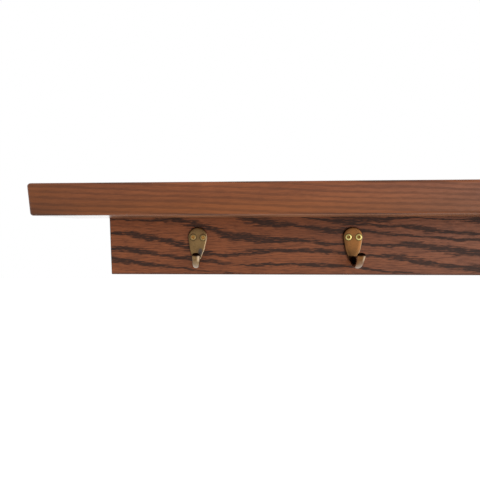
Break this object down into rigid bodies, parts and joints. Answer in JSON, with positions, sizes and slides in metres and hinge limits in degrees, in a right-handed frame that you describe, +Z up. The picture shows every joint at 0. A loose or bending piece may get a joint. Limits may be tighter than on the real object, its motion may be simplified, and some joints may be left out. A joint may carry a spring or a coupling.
{
  "type": "peg rail with shelf",
  "caption": "Wall-hung oak coat rail with a shelf along its top edge and cast metal hooks on its front, hung on keyhole plates let into the back.",
  "frame": {"origin": "middle of the rail's back face, which lies flat on the wall", "axes": "+X to the right along the rail as seen from the room, +Y into the wall, +Z up; hooks and shelf stand out to -Y"},
  "size_m": [0.8844, 0.1016, 0.0844],
  "materials": {
    "shelf_oak": "satin, stained red oak",
    "rail_oak": "satin, stained red oak with bold grain",
    "dowel_beech": "raw beech",
    "antique_brass": "antique brass, darkened",
    "screw_brass": "bright brass",
    "hanger_steel": "zinc-plated steel",
    "zinc_screw": "zinc-plated steel"
  },
  "bodies": {
    "root": {"shelf_board": "shelf_oak", "hook_rail": "rail_oak", "dowel_1": "dowel_beech", "dowel_2": "dowel_beech", "dowel_3": "dowel_beech", "dowel_4": "dowel_beech", "dowel_5": "dowel_beech", "dowel_6": "dowel_beech", "hook_1": "antique_brass", "hook_1_screw_left": "screw_brass", "hook_1_screw_right": "screw_brass", "hook_2": "antique_brass", "hook_2_screw_left": "screw_brass", "hook_2_screw_right": "screw_brass", "hook_3": "antique_brass", "hook_3_screw_left": "screw_brass", "hook_3_screw_right": "screw_brass", "hook_4": "antique_brass", "hook_4_screw_left": "screw_brass", "hook_4_screw_right": "screw_brass", "hook_5": "antique_brass", "hook_5_screw_left": "screw_brass", "hook_5_screw_right": "screw_brass", "hanger_left": "hanger_steel", "hanger_left_screw_high": "zinc_screw", "hanger_left_screw_low": "zinc_screw", "hanger_right": "hanger_steel", "hanger_right_screw_high": "zinc_screw", "hanger_right_screw_low": "zinc_screw"}
  },
  "joints": []
}
